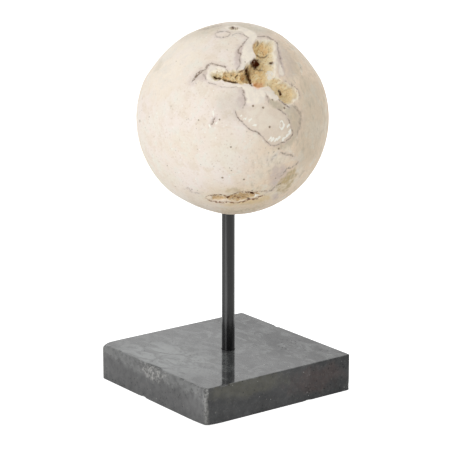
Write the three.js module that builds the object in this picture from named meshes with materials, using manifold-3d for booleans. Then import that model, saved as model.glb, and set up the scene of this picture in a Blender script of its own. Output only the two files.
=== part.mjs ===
// Decorative stone ball on a stand.
//
// A ball of pale weathered stone with an open natural hollow in its show face
// sits on a slim round rod, and the rod stands in a square slab of dark stone.
// Millimetres, +Z up. The origin is the centre of the slab's underside, and the
// slab's sides run along X and Y. The show face looks towards the corner of the
// slab that lies at -X and -Y.

import * as THREE from 'three';
import { ConvexGeometry } from 'three/addons/geometries/ConvexGeometry.js';
import { mergeVertices } from 'three/addons/utils/BufferGeometryUtils.js';
import Module from 'manifold-3d';

const wasm = await Module();
wasm.setup();

// ---------------------------------------------------------------------------
// Driving dimensions
// ---------------------------------------------------------------------------

const slabSide = 110;
const slabThickness = 23;
const slabCornerRadius = 1.0;   // the four upright corners, seen from above
const slabEdgeRound = 0.6;      // the worn round along every edge

const rodDiameter = 8;
const rodAxis = { x: 1.6, y: -1.2 };   // where the rod stands on the slab
const socketDepth = 15;                // how far the rod goes into the slab
const boreDepth = 20;                  // how far it goes into the ball
const rodChamfer = 0.5;
const fitGap = 0.3;                    // clearance all round the rod's seats

const ballRadius = 57.8;
const ballCentre = new THREE.Vector3(3.6, -2.7, 168.2);
const faceAzimuth = -36.75;   // degrees: where the show face looks, from -Y
const faceTilt = 11.6;        // degrees: how far it looks up

const plainEdge = 6.4;     // longest mesh edge on the plain ground surface
const carvedEdge = 2.1;    // and in the hollows and along their rims
const rimMargin = 1.2;     // width of the finer mesh outside a rim

const plainCell = 12;      // divisions of each icosahedron edge before refining

// ---------------------------------------------------------------------------
// Solids
// ---------------------------------------------------------------------------

function toSolid(geometry) {
  const bare = geometry.index ? geometry.toNonIndexed() : geometry.clone();
  for (const name of Object.keys(bare.attributes)) {
    if (name !== 'position') bare.deleteAttribute(name);
  }
  const merged = mergeVertices(bare, 1e-4);
  return new wasm.Manifold(new wasm.Mesh({
    numProp: 3,
    vertProperties: new Float32Array(merged.attributes.position.array),
    triVerts: new Uint32Array(merged.index.array),
  }));
}

function toGeometry(solid) {
  const mesh = solid.getMesh();
  const geometry = new THREE.BufferGeometry();
  geometry.setAttribute('position', new THREE.BufferAttribute(mesh.vertProperties, 3));
  geometry.setIndex(new THREE.BufferAttribute(mesh.triVerts, 1));
  const faceted = geometry.toNonIndexed();
  faceted.computeVertexNormals();
  return faceted;
}

/** A closed round bar along Z, with its ends chamfered. */
function roundBar(radius, bottom, top, chamfer, sides) {
  const profile = [
    new THREE.Vector2(0, bottom),
    new THREE.Vector2(radius - chamfer, bottom),
    new THREE.Vector2(radius, bottom + chamfer),
    new THREE.Vector2(radius, top - chamfer),
    new THREE.Vector2(radius - chamfer, top),
    new THREE.Vector2(0, top),
  ];
  const bar = new THREE.LatheGeometry(profile, sides);
  bar.rotateX(Math.PI / 2);
  return bar.translate(rodAxis.x, rodAxis.y, 0);
}

// ---------------------------------------------------------------------------
// The ball
// ---------------------------------------------------------------------------

// The show face has its own axes: right and up across it, and out of it.
const azimuth = THREE.MathUtils.degToRad(faceAzimuth);
const tilt = THREE.MathUtils.degToRad(faceTilt);
const faceOut = new THREE.Vector3(
  Math.sin(azimuth) * Math.cos(tilt),
  -Math.cos(azimuth) * Math.cos(tilt),
  Math.sin(tilt),
);
const faceRight = new THREE.Vector3(Math.cos(azimuth), Math.sin(azimuth), 0);
const faceUp = new THREE.Vector3().crossVectors(faceOut, faceRight);

// Hollows are laid out on the show face in mm right of and above its middle.
// Each is a tapering lobe between two points: [right, up, radius] twice, with
// the depth it is dug below the round surface and the width of its wall.
const hollows = [
  // the large open vug, chamber by chamber
  { from: [17.6, 41.0, 6.4], to: [19.3, 36.0, 5.9], depth: 5.8, wall: 3.4 },    // upper chamber
  { from: [21.8, 43.2, 3.6], to: [22.8, 41.0, 3.0], depth: 4.0, wall: 2.6 },    // its corner
  { from: [18.2, 31.0, 7.0], to: [16.8, 24.6, 7.9], depth: 8.0, wall: 3.4 },    // main chamber
  { from: [12.2, 31.4, 3.6], to: [9.6, 24.6, 5.2], depth: 10.5, wall: 2.8 },    // cave under its left rim
  { from: [5.2, 24.0, 4.9], to: [-4.0, 24.2, 3.7], depth: 4.8, wall: 2.6 },     // left gallery
  { from: [-8.2, 25.2, 4.3], to: [-10.4, 24.6, 4.4], depth: 3.2, wall: 3.6 },   // its end lobe
  { from: [24.0, 20.4, 4.4], to: [32.4, 13.7, 6.2], depth: 4.8, wall: 3.4 },    // right pocket
  // the small hole near the top
  { from: [-0.7, 52.9, 0.9], to: [2.7, 52.8, 0.9], depth: 6.0, wall: 0.8 },
  // the shallow lens-shaped scar low on the ball
  { from: [-11.0, -46.7, 1.7], to: [3.0, -46.3, 3.0], depth: 1.5, wall: 1.4 },
  { from: [3.0, -46.3, 3.0], to: [15.5, -44.2, 1.4], depth: 1.5, wall: 1.4 },
];
const chamberBlend = 5;   // power of the blend between neighbouring chambers
const rimWander = 0.7;    // mm that the rims wander off their plain outlines
const floorRelief = 1.0;  // mm of lumps on the floors, up and down

// Wide low flats that the grinding left: where the middle of each one faces on
// the show face, and how deep it is there.
const flats = [
  { right: -0.375, up: -0.927, depth: 0.7 },
  { right: -0.743, up: 0.669, depth: 1.0 },
  { right: -0.375, up: 0.927, depth: 0.7 },
  { right: 0.743, up: 0.669, depth: 0.8 },
];
const flatSpread = 0.94;   // cosine of the angle from a flat's middle to its edge

/** Smooth irregular waves between -1 and 1, about one wavelength per cell. */
function waves(x, y, cell) {
  const turn = (2 * Math.PI) / cell;
  const first = Math.sin(turn * (0.93 * x + 0.37 * y) + 1.3);
  const second = Math.sin(turn * (-0.48 * x + 1.07 * y) + 2.1 * first + 4.0);
  const third = Math.sin(turn * (0.71 * x - 0.83 * y) + 1.7 * second + 0.6);
  return (first + second + third) / 3;
}

/** How far inside a tapering lobe a point of the show face lies. */
function insideLobe(right, up, { from, to }) {
  const alongRight = to[0] - from[0];
  const alongUp = to[1] - from[1];
  const lengthSquared = alongRight ** 2 + alongUp ** 2;
  const along = ((right - from[0]) * alongRight + (up - from[1]) * alongUp) / lengthSquared;
  const t = THREE.MathUtils.clamp(along, 0, 1);
  const away = Math.hypot(right - from[0] - t * alongRight, up - from[1] - t * alongUp);
  return THREE.MathUtils.lerp(from[2], to[2], t) - away;
}

/** A direction's place on the show face, wandering as the rims do. */
function facePlace(direction) {
  const right = direction.dot(faceRight) * ballRadius;
  const up = direction.dot(faceUp) * ballRadius;
  return {
    right: right + rimWander * waves(right, up, 9),
    up: up + rimWander * waves(up + 31, right, 7),
  };
}

const onShowFace = (direction) => direction.dot(faceOut) > 0.1;

/** Depth of the hollows below the round surface, in one direction. */
function hollowDepth(direction) {
  if (!onShowFace(direction)) return 0;
  const { right, up } = facePlace(direction);
  let blended = 0;
  for (const hollow of hollows) {
    const inside = insideLobe(right, up, hollow);
    if (inside <= 0) continue;
    const wall = THREE.MathUtils.smoothstep(inside, 0, hollow.wall);
    const lumps = 1 + Math.min(floorRelief / hollow.depth, 0.25) * waves(right, up, 6);
    blended += (hollow.depth * wall * lumps) ** chamberBlend;
  }
  return blended ** (1 / chamberBlend);
}

/** Distance from the ball's centre to its surface, in one direction. */
function surfaceRadius(direction) {
  let radius = ballRadius;
  for (const { right, up, depth } of flats) {
    const facing = direction.dot(faceRight) * right + direction.dot(faceUp) * up;
    radius -= depth * THREE.MathUtils.smoothstep(facing, flatSpread, 1);
  }
  return radius - hollowDepth(direction);
}

/** The longest edge that the mesh keeps around one direction. */
function edgeLimit(direction) {
  if (!onShowFace(direction)) return plainEdge;
  const { right, up } = facePlace(direction);
  const nearest = Math.max(...hollows.map((hollow) => insideLobe(right, up, hollow)));
  return nearest > -rimMargin ? carvedEdge : plainEdge;
}

/** Splits every edge that is too long; neighbours agree, so no gap opens. */
function refine(triangles) {
  const spot = (direction) => direction.clone().multiplyScalar(surfaceRadius(direction));
  const split = (a, b) => {
    const middle = a.clone().add(b).normalize();
    return spot(a).distanceTo(spot(b)) > edgeLimit(middle) ? middle : null;
  };
  const finer = [];
  for (const [a, b, c] of triangles) {
    const ab = split(a, b);
    const bc = split(b, c);
    const ca = split(c, a);
    const count = (ab ? 1 : 0) + (bc ? 1 : 0) + (ca ? 1 : 0);
    if (count === 0) finer.push([a, b, c]);
    else if (count === 3) finer.push([a, ab, ca], [ab, b, bc], [ca, bc, c], [ab, bc, ca]);
    else if (count === 1 && ab) finer.push([a, ab, c], [ab, b, c]);
    else if (count === 1 && bc) finer.push([b, bc, a], [bc, c, a]);
    else if (count === 1) finer.push([c, ca, b], [ca, a, b]);
    else if (!ab) finer.push([c, ca, bc], [ca, a, b], [ca, b, bc]);
    else if (!bc) finer.push([a, ab, ca], [ab, b, c], [ab, c, ca]);
    else finer.push([b, bc, ab], [bc, c, a], [bc, a, ab]);
  }
  return finer;
}

function ballGeometry() {
  const seed = new THREE.IcosahedronGeometry(1, plainCell - 1).attributes.position;
  let triangles = [];
  for (let i = 0; i < seed.count; i += 3) {
    triangles.push([0, 1, 2].map((k) => {
      return new THREE.Vector3().fromBufferAttribute(seed, i + k).normalize();
    }));
  }
  for (let size = 0; size !== triangles.length;) {
    size = triangles.length;
    triangles = refine(triangles);
  }
  const points = triangles.flat().map((direction) => {
    return direction.clone().multiplyScalar(surfaceRadius(direction)).add(ballCentre);
  });
  return new THREE.BufferGeometry().setFromPoints(points);
}

const rodRadius = rodDiameter / 2;
const boreRadius = rodRadius + fitGap;
const axisOffset = Math.hypot(ballCentre.x - rodAxis.x, ballCentre.y - rodAxis.y);
const ballUnderside = ballCentre.z - Math.sqrt(ballRadius ** 2 - axisOffset ** 2);
const rodTop = ballUnderside + boreDepth;
const rodBottom = slabThickness - socketDepth;
const clearOfSurface = 6;   // how far a cutting tool starts outside the stone
const barSides = 32;

const ball = toSolid(ballGeometry()).subtract(toSolid(
  roundBar(boreRadius, ballUnderside - clearOfSurface, rodTop + fitGap, 0, barSides),
));

// ---------------------------------------------------------------------------
// The base slab, with its worn corner and chipped edges
// ---------------------------------------------------------------------------

function slabGeometry() {
  const half = slabSide / 2 - slabEdgeRound;
  const radius = slabCornerRadius - slabEdgeRound;
  const outline = new THREE.Shape();
  for (let corner = 0; corner < 4; corner += 1) {
    const turn = (corner * Math.PI) / 2;
    const x = (half - radius) * Math.SQRT2 * Math.cos(turn + Math.PI / 4);
    const y = (half - radius) * Math.SQRT2 * Math.sin(turn + Math.PI / 4);
    outline.absarc(x, y, radius, turn, turn + Math.PI / 2, false);
  }
  const slab = new THREE.ExtrudeGeometry(outline, {
    depth: slabThickness - 2 * slabEdgeRound,
    curveSegments: 4,
    bevelEnabled: true,
    bevelThickness: slabEdgeRound,
    bevelSize: slabEdgeRound,
    bevelSegments: 3,
  });
  return slab.translate(0, 0, slabEdgeRound);
}

const half = slabSide / 2;

// Corners worn away in sloping facets: the corner, and how far from it a facet
// reaches along each of the three edges that meet there.
const wornFacets = [
  { corner: [-half, half, slabThickness], run: [9, 20, 0.9] },
  { corner: [-half, half, slabThickness], run: [5.5, 8, 3.2] },
  { corner: [-half, -half, 0], run: [11, 15, 1.2] },
];

function facetCutter({ corner, run }) {
  const tip = new THREE.Vector3(...corner);
  const middle = new THREE.Vector3(0, 0, slabThickness / 2);
  const ends = run.map((length, axis) => {
    const end = tip.clone();
    const inward = Math.sign(middle.getComponent(axis) - tip.getComponent(axis));
    return end.setComponent(axis, tip.getComponent(axis) + inward * length);
  });
  const centre = ends[0].clone().add(ends[1]).add(ends[2]).divideScalar(3);
  const cutter = new ConvexGeometry([tip, ...ends]);
  cutter.translate(-centre.x, -centre.y, -centre.z);
  cutter.scale(2, 2, 2);   // about a point of the facet, so the facet keeps its plane
  return cutter.translate(centre.x, centre.y, centre.z);
}

// Chips along the edges: the middle, the direction of the edge, the half length
// of the bite and how deep it goes in from the edge.
const chips = [
  { at: [-half, -2.5, slabThickness], along: 'y', reach: 12, depth: 1.5 },
  { at: [-half, 34.5, slabThickness], along: 'y', reach: 3.5, depth: 0.9 },
  { at: [-half, -31, slabThickness], along: 'y', reach: 4, depth: 0.8 },
  { at: [-half, 10, 0], along: 'y', reach: 7, depth: 0.9 },
  { at: [-41, -half, slabThickness], along: 'x', reach: 5, depth: 1.0 },
  { at: [22, -half, 0], along: 'x', reach: 6, depth: 0.8 },
  { at: [half, 18, slabThickness], along: 'y', reach: 5, depth: 0.9 },
  { at: [-half, -half, slabThickness - 2], along: 'z', reach: 4.5, depth: 2.2 },
  { at: [half, -half, 3], along: 'z', reach: 4, depth: 1.8 },
];
const biteRadius = 3.4;

function chipCutter({ at, along, reach, depth }) {
  const cutter = new THREE.IcosahedronGeometry(1, 1);
  const size = new THREE.Vector3(biteRadius, biteRadius, biteRadius);
  size[along] = reach;
  cutter.scale(size.x, size.y, size.z);
  const outward = new THREE.Vector3(
    along === 'x' ? 0 : Math.sign(at[0]),
    along === 'y' ? 0 : Math.sign(at[1]),
    along === 'z' ? 0 : Math.sign(at[2] - slabThickness / 2),
  ).normalize();
  const place = new THREE.Vector3(...at).addScaledVector(outward, biteRadius - depth);
  return cutter.translate(place.x, place.y, place.z);
}

let base = toSolid(slabGeometry());
for (const facet of wornFacets) {
  base = base.subtract(toSolid(facetCutter(facet)));
}
for (const chip of chips) {
  base = base.subtract(toSolid(chipCutter(chip)));
}
base = base.subtract(toSolid(
  roundBar(boreRadius, rodBottom - fitGap, slabThickness + clearOfSurface, 0, barSides),
));

// ---------------------------------------------------------------------------
// The object
// ---------------------------------------------------------------------------

const paleStone = new THREE.MeshStandardMaterial({
  name: 'pale stone', color: 0xe6d9c6, roughness: 0.75, metalness: 0,
});
const blackLacquer = new THREE.MeshStandardMaterial({
  name: 'black lacquer', color: 0x141414, roughness: 0.25, metalness: 0,
});
const darkStone = new THREE.MeshStandardMaterial({
  name: 'dark stone', color: 0x3c3e40, roughness: 0.3, metalness: 0,
});

function piece(name, geometry, material) {
  const mesh = new THREE.Mesh(geometry, material);
  mesh.name = name;
  return mesh;
}

const object = new THREE.Group();
object.add(
  piece('stone_ball', toGeometry(ball), paleStone),
  piece('rod', roundBar(rodRadius, rodBottom, rodTop, rodChamfer, barSides), blackLacquer),
  piece('base_slab', toGeometry(base), darkStone),
);

export default object;
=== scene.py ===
import math

import bpy
import numpy as np
from mathutils import Euler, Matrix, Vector


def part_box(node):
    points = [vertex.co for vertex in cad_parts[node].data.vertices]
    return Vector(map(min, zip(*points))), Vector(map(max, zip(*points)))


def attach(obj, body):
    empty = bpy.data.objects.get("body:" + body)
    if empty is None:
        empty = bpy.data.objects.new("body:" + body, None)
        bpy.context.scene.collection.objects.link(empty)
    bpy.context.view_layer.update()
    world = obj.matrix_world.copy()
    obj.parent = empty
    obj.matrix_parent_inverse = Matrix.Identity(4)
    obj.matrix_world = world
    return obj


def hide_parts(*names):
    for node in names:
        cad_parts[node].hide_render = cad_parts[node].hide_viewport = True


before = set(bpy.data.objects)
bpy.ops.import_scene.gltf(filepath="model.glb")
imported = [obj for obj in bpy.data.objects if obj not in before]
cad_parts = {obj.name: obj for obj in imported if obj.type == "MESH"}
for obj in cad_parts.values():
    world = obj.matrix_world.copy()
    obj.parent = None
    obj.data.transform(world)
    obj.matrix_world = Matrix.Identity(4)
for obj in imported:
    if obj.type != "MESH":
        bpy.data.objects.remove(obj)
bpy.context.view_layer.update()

# ---------------------------------------------------------------------------
# The base: a square slab sawn from dark grey stone and polished. Its edges are
# softened by wear and carry pale chips, and two of its corners are rubbed down
# to slopes. A blind hole in the top takes the rod.
# ---------------------------------------------------------------------------

MM = 0.001
slab_low, slab_high = np.array(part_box("base_slab")) / MM
slab_half = (slab_high - slab_low) / 2
slab_top = slab_high[2]
rod_low, rod_high = np.array(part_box("rod")) / MM
rod_axis = (rod_low + rod_high)[:2] / 2
rod_radius = (rod_high[0] - rod_low[0]) / 2
seat_gap = 0.3              # clearance round the rod in both its seats

slab_edge_round = 0.6
slab_corner_round = 1.8
slab_grid = (20, 20, 4)     # squares of the plain box along X, Y and Z
finest_slab_edge = 0.5
drill_start = 6             # how far outside the stone a drill starts


def tone(red, green, blue):
    """A colour as the eye reads it, 0 to 255, in the linear values that shaders take."""
    parts = [c / 255 for c in (red, green, blue)]
    return [c / 12.92 if c < 0.04045 else ((c + 0.055) / 1.055) ** 2.4 for c in parts] + [1.0]


def smooth(value, low, high):
    """Eases from 0 to 1 as value goes from low to high."""
    t = np.clip((value - low) / (high - low), 0, 1)
    return t * t * (3 - 2 * t)


def lengths(vectors):
    """The length of each row."""
    return np.linalg.norm(vectors, axis=1)


def lattice_noise(points, cell, seed):
    """Smooth random noise between about -1 and 1, one feature per cell, for many points."""
    table = np.random.RandomState(seed)
    order = table.permutation(256)
    slopes = table.normal(size=(256, 3))
    slopes /= lengths(slopes)[:, None]
    p = points / cell
    corner = np.floor(p).astype(int)
    inside = p - corner
    ease = inside ** 3 * (inside * (inside * 6 - 15) + 10)
    total = np.zeros(len(p))
    for dx in (0, 1):
        for dy in (0, 1):
            for dz in (0, 1):
                c = corner + (dx, dy, dz)
                key = order[(order[(order[c[:, 0] & 255] + c[:, 1]) & 255] + c[:, 2]) & 255]
                lean = np.einsum("ij,ij->i", slopes[key], inside - (dx, dy, dz))
                weight = np.ones(len(p))
                for axis, d in enumerate((dx, dy, dz)):
                    weight *= ease[:, axis] if d else 1 - ease[:, axis]
                total += weight * lean
    return 1.6 * total


def refine(seeds, triangles, place, middle, limit, finest, rounds=6):
    """Splits the edges longer than their limit, round by round; the mesh stays closed."""
    points = place(seeds)
    for _ in range(rounds):
        edges = np.sort(triangles[:, [[0, 1], [1, 2], [2, 0]]].reshape(-1, 2), axis=1)
        keys, slot = np.unique(edges[:, 0] * len(seeds) + edges[:, 1], return_inverse=True)
        a, b = keys // len(seeds), keys % len(seeds)
        between = middle(seeds[a], seeds[b])
        split = lengths(points[a] - points[b]) > limit(between)
        split &= lengths(seeds[a] - seeds[b]) > finest
        if not split.any():
            break
        added = np.full(len(keys), -1)
        added[split] = len(seeds) + np.arange(split.sum())
        mids = added[slot.reshape(-1)].reshape(-1, 3)
        seeds = np.vstack([seeds, between[split]])
        points = np.vstack([points, place(between[split])])
        count = (mids >= 0).sum(axis=1)
        # how a triangle divides: its corners are 0, 1, 2 and its sides' middles 3, 4, 5
        cases = [(count == 3, 0, ((0, 3, 5), (3, 1, 4), (5, 4, 2), (3, 4, 5)))]
        for k in range(3):
            cases.append(((count == 1) & (mids[:, k] >= 0), k, ((0, 3, 2), (3, 1, 2))))
            cases.append(((count == 2) & (mids[:, k] < 0), k, ((2, 5, 4), (0, 1, 4), (0, 4, 5))))
        pieces = [triangles[count == 0]]
        for chosen, k, parts in cases:
            turn = [k, (k + 1) % 3, (k + 2) % 3]
            six = np.hstack([triangles[chosen][:, turn], mids[chosen][:, turn]])
            pieces += [six[:, part] for part in parts]
        triangles = np.vstack(pieces)
    return seeds, points, triangles


def new_object(name, data):
    """An object linked into the scene."""
    made = bpy.data.objects.new(name, data)
    bpy.context.scene.collection.objects.link(made)
    return made


def piece_from(name, points, triangles, layers):
    """A smooth-shaded object from points in mm, with one value per point for each layer."""
    mesh = bpy.data.meshes.new(name)
    mesh.from_pydata((points * MM).tolist(), [], triangles.tolist())
    mesh.shade_smooth()
    for layer, values in layers.items():
        attribute = mesh.attributes.new(layer, "FLOAT", "POINT")
        attribute.data.foreach_set("value", values.astype(np.float32))
    return new_object(name, mesh)


def drill(piece, axis, bottom, top, radius):
    """Cuts a round blind hole along Z, and leaves a plain mesh with a crisp rim to the hole."""
    sides, touching = 96, 0.01
    turns = np.arange(sides) * 2 * math.pi / sides
    ring = np.stack([axis[0] + radius * np.cos(turns), axis[1] + radius * np.sin(turns)], axis=1)
    rings = [np.column_stack([ring, np.full(sides, z)]) for z in (bottom, top)]
    mesh = bpy.data.meshes.new("drill")
    walls = [[i, (i + 1) % sides, sides + (i + 1) % sides, sides + i] for i in range(sides)]
    ends = [list(range(sides))[::-1], list(range(sides, 2 * sides))]
    mesh.from_pydata((np.vstack(rings) * MM).tolist(), [], walls + ends)
    cutter = new_object("drill", mesh)
    cut = piece.modifiers.new("drill", "BOOLEAN")
    cut.operation, cut.solver, cut.object = "DIFFERENCE", "EXACT", cutter
    depsgraph = bpy.context.evaluated_depsgraph_get()
    drilled = bpy.data.meshes.new_from_object(piece.evaluated_get(depsgraph))
    piece.modifiers.clear()
    piece.data = drilled
    bpy.data.objects.remove(cutter)
    spots = np.empty(3 * len(drilled.vertices))
    drilled.vertices.foreach_get("co", spots)
    off = lengths(spots.reshape(-1, 3)[:, :2] / MM - axis)
    ends = np.empty(2 * len(drilled.edges), int)
    drilled.edges.foreach_get("vertices", ends)
    rim = (np.abs(off - radius) < touching)[ends.reshape(-1, 2)].all(axis=1)
    marks = drilled.attributes
    crease = marks.get("sharp_edge") or marks.new("sharp_edge", "BOOLEAN", "EDGE")
    crease.data.foreach_set("value", rim)


def feed(tree, node, inputs):
    """Links each socket given, and sets each plain value, on a node's inputs."""
    for key, value in inputs.items():
        if isinstance(value, bpy.types.NodeSocket):
            tree.links.new(value, node.inputs[key])
        else:
            node.inputs[key].default_value = value


def add_node(tree, kind, inputs=None, **settings):
    """A new node with its settings made and its inputs fed."""
    node = tree.nodes.new(kind)
    for key, value in settings.items():
        setattr(node, key, value)
    feed(tree, node, inputs or {})
    return node


class Shader:
    """A procedural material whose nodes are added by short calls. Sizes are in mm."""

    def __init__(self, name):
        self.material = bpy.data.materials.new(name)
        self.material.use_nodes = True
        self.tree = self.material.node_tree
        self.place = self.add("ShaderNodeTexCoord").outputs["Object"]

    def add(self, kind, inputs=None, **settings):
        return add_node(self.tree, kind, inputs, **settings)

    def finish(self, **values):
        named = {key.replace("_", " "): value for key, value in values.items()}
        feed(self.tree, self.tree.nodes["Principled BSDF"], named)
        return self.material

    def layer(self, name):
        """A layer's value, as stored on the mesh."""
        return self.add("ShaderNodeAttribute", attribute_name=name).outputs["Fac"]

    def math(self, operation, a, b=0.0, clamp=False):
        return self.add("ShaderNodeMath", {0: a, 1: b}, operation=operation, use_clamp=clamp).outputs[0]

    def times(self, a, b, clamp=False):
        return self.math("MULTIPLY", a, b, clamp)

    def plus(self, a, b):
        return self.math("ADD", a, b)

    def step(self, value, low, high, start=0.0, end=1.0):
        """Eases from start to end as value goes from low to high."""
        return self.add("ShaderNodeMapRange", {
            "Value": value, "From Min": low, "From Max": high, "To Min": start, "To Max": end,
        }, interpolation_type="SMOOTHSTEP").outputs["Result"]

    def broken(self, layer, noise, *bounds):
        """A layer broken up by noise that is eased between the bounds."""
        return self.times(self.layer(layer), self.step(noise, *bounds), clamp=True)

    def moved(self, shift):
        return self.add("ShaderNodeVectorMath", {0: self.place, 1: shift}, operation="ADD").outputs[0]

    def noise(self, size, detail=3.0, roughness=0.5, distortion=0.0, shift=(0, 0, 0), stretch=None):
        vector = self.moved(shift)
        if stretch:
            vector = self.add("ShaderNodeMapping", {"Vector": vector, "Scale": stretch}).outputs[0]
        return self.add("ShaderNodeTexNoise", {
            "Vector": vector, "Scale": 1 / (size * MM), "Detail": detail,
            "Roughness": roughness, "Distortion": distortion,
        }).outputs["Fac"]

    def cells(self, size, shift=(0, 0, 0)):
        return self.add("ShaderNodeTexVoronoi", {
            "Vector": self.moved(shift), "Scale": 1 / (size * MM)}).outputs["Distance"]

    def specks(self, size, radius, strength, shift=(0, 0, 0)):
        """Round spots, one to a cell, that fade out between two radii given in cells."""
        return self.step(self.cells(size, shift), *radius, strength, 0.0)

    def mix(self, amount, first, second):
        """The second colour laid over the first. A plain colour is given as for tone."""
        first, second = (tone(*c) if isinstance(c, tuple) else c for c in (first, second))
        return self.add("ShaderNodeMix", {0: amount, 6: first, 7: second}, data_type="RGBA").outputs[2]

    def over(self, colour, *coats):
        """Lays coats over a colour in turn, each an amount and the coat's colour."""
        for amount, coat in coats:
            colour = self.mix(amount, colour, coat)
        return colour

    def bump(self, height, depth, under=None):
        inputs = {"Height": height, "Distance": depth * MM}
        if under:
            inputs["Normal"] = under
        return self.add("ShaderNodeBump", inputs).outputs["Normal"]


# Chips: the middle of the bite on an edge, the edge's axis, half its length,
# how deep it goes in from the edge.
h = slab_half[0]
chips = [
    ((-h, -2.5, slab_top), 1, 12, 1.5),
    ((-h, 34.5, slab_top), 1, 3.5, 0.9),
    ((-h, -31, slab_top), 1, 4, 0.8),
    ((-h, 10, 0), 1, 7, 0.9),
    ((-41, -h, slab_top), 0, 5, 1.0),
    ((22, -h, 0), 0, 6, 0.8),
    ((h, 18, slab_top), 1, 5, 0.9),
    ((-h, -h, slab_top - 2), 2, 4.5, 2.2),
    ((h, -h, 3), 2, 4, 1.1),
]
bite_radius = 3.4

# Corners worn away in sloping facets: the corner, how far from it the facet
# reaches along each of its three edges, and how softly the facet starts.
worn_facets = [
    ((-h, h, slab_top), (9, 20, 0.9), 0.25),
    ((-h, h, slab_top), (5.5, 8, 3.2), 0.45),
    ((-h, -h, 0), (11, 15, 1.2), 0.25),
]


def slab_places(seeds):
    """Moves points of a plain box onto the worn and chipped slab."""
    core = slab_half - slab_edge_round
    middle = (slab_low + slab_high) / 2
    p = seeds - middle
    flat = np.clip(p[:, :2], slab_corner_round - slab_half[:2], slab_half[:2] - slab_corner_round)
    reach = p[:, :2] - flat
    length = lengths(reach)[:, None]
    turn = slab_corner_round - slab_edge_round
    nearest = flat + reach * np.minimum(1, turn / np.maximum(length, 1e-9))
    q = np.column_stack([nearest, np.clip(p[:, 2], -core[2], core[2])])
    away = p - q
    away /= lengths(away)[:, None]
    placed = q + away * slab_edge_round + middle
    rough = lattice_noise(placed, 2.2, 11) + 0.5 * lattice_noise(placed, 0.9, 12)
    # the worn corners
    for corner, run, soft in worn_facets:
        lean = np.sign(np.array(corner) - middle) / np.array(run)
        start = corner @ lean - 1
        size = np.linalg.norm(lean)
        over = (placed @ lean - start) / size + 0.10 * rough
        eased = soft * np.logaddexp(0, (over - soft) / soft)
        placed = placed - (lean / size) * eased[:, None]
    # the chips
    for at, axis, half_length, depth in chips:
        outward = np.sign(np.array(at) - middle)
        outward[axis] = 0
        outward /= np.linalg.norm(outward)
        centre = np.array(at) + outward * (bite_radius - depth)
        size = np.full(3, bite_radius)
        size[axis] = half_length
        offset = (placed - centre) / size
        swell = 1 + 0.10 * rough
        a = ((outward / size) ** 2).sum()
        b = (offset * outward / size).sum(axis=1)
        c = (offset ** 2).sum(axis=1) - swell ** 2
        root = b * b - a * c
        travel = np.where((root > 0) & (c < 0), b + np.sqrt(np.maximum(root, 0)), 0) / a
        placed = placed - outward * np.maximum(travel, 0)[:, None]
    return placed


def slab_limit(seeds):
    """Fine along the edges, coarse in the middle of the faces."""
    reach = np.sort(slab_half - np.abs(seeds - (slab_low + slab_high) / 2), axis=1)
    return np.clip(0.7 + 0.25 * (reach[:, 1] - 3.0), 0.7, 6.0)


def plain_box(low, high, steps):
    """Triangles over a box, with its edges and corners shared."""
    seeds, triangles = {}, []
    for axis in range(3):
        u, v = (axis + 1) % 3, (axis + 2) % 3
        for side in (0, 1):
            for i in range(steps[u]):
                for j in range(steps[v]):
                    square = []
                    for di, dj in ((0, 0), (1, 0), (1, 1), (0, 1)):
                        spot = [0, 0, 0]
                        spot[axis], spot[u], spot[v] = side * steps[axis], i + di, j + dj
                        square.append(seeds.setdefault(tuple(spot), len(seeds)))
                    if not side:
                        square.reverse()
                    triangles += [square[:3], [square[0], square[2], square[3]]]
    grid = np.array(list(seeds)) / np.array(steps)
    return low + grid * (high - low), np.array(triangles)


def flush(reach, face):
    """1 on a flat face of the slab, 0 where its edges round away."""
    return smooth(reach, face - 0.8, face - 0.1)


seeds, triangles = plain_box(slab_low, slab_high, slab_grid)
seeds, points, triangles = refine(
    seeds, triangles, slab_places, lambda a, b: (a + b) / 2, slab_limit, finest_slab_edge)
x, y, below = points[:, 0], points[:, 1], slab_top - points[:, 2]
left_side, right_side, polish = flush(-x, h), flush(-y, h), flush(-below, 0)
scuff_edge = below + 3 * lattice_noise(points, 7, 14) + 1.5 * lattice_noise(points, 2.5, 15)
bruise_edge = np.hypot((y + 1) / 15, (below - 3) / 7) + 0.35 * lattice_noise(points, 3, 16)
strip_edge = lengths(points[:, :2] + h) + 0.9 * lattice_noise(points, 3, 17)
ragged = 0.4 * lattice_noise(points, 9, 18) + 0.25 * lattice_noise(points, 3, 19)
slab = piece_from("dark_slab", points, triangles, {
    "worn": lengths(points - seeds),
    "dull": smooth(x + 10 * lattice_noise(points, 30, 13), -5, 45),
    # the left face: dust, with a painted sheen of the lamp on that side
    "dust_and_sheen": left_side,
    "polish": polish,
    "veil": polish * np.exp(-((x + 38) / 24) ** 2 - ((y - 8) / 36) ** 2),
    "scuff": left_side * smooth(scuff_edge, 9.5, 5),
    "bruise": left_side * smooth(bruise_edge, 1.1, 0.5),
    "strip": smooth(strip_edge, 2.6, 0.9),
    "olive_cloud": right_side * smooth(np.hypot((x + 26) / 30, (below - 4) / 7) + ragged, 1.25, 0.6),
    "plum_cloud": right_side * smooth(np.hypot((x - 26) / 24, (below - 10) / 8) - ragged, 1.25, 0.6),
})
drill(slab, rod_axis, rod_low[2] - seat_gap, slab_top + drill_start, rod_radius + seat_gap)

s = Shader("dark_stone")
cloud = s.noise(24, detail=3, roughness=0.55, distortion=0.5)
drift = s.noise(9, detail=5, roughness=0.6, distortion=1.4, shift=(0.3, 0.1, 0), stretch=(1, 0.6, 1))
mottle = s.noise(4.5, detail=4, roughness=0.65, shift=(0.1, 0.7, 0))
grain = s.noise(1.3, detail=3, roughness=0.65, shift=(0.7, 0, 0))
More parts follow.
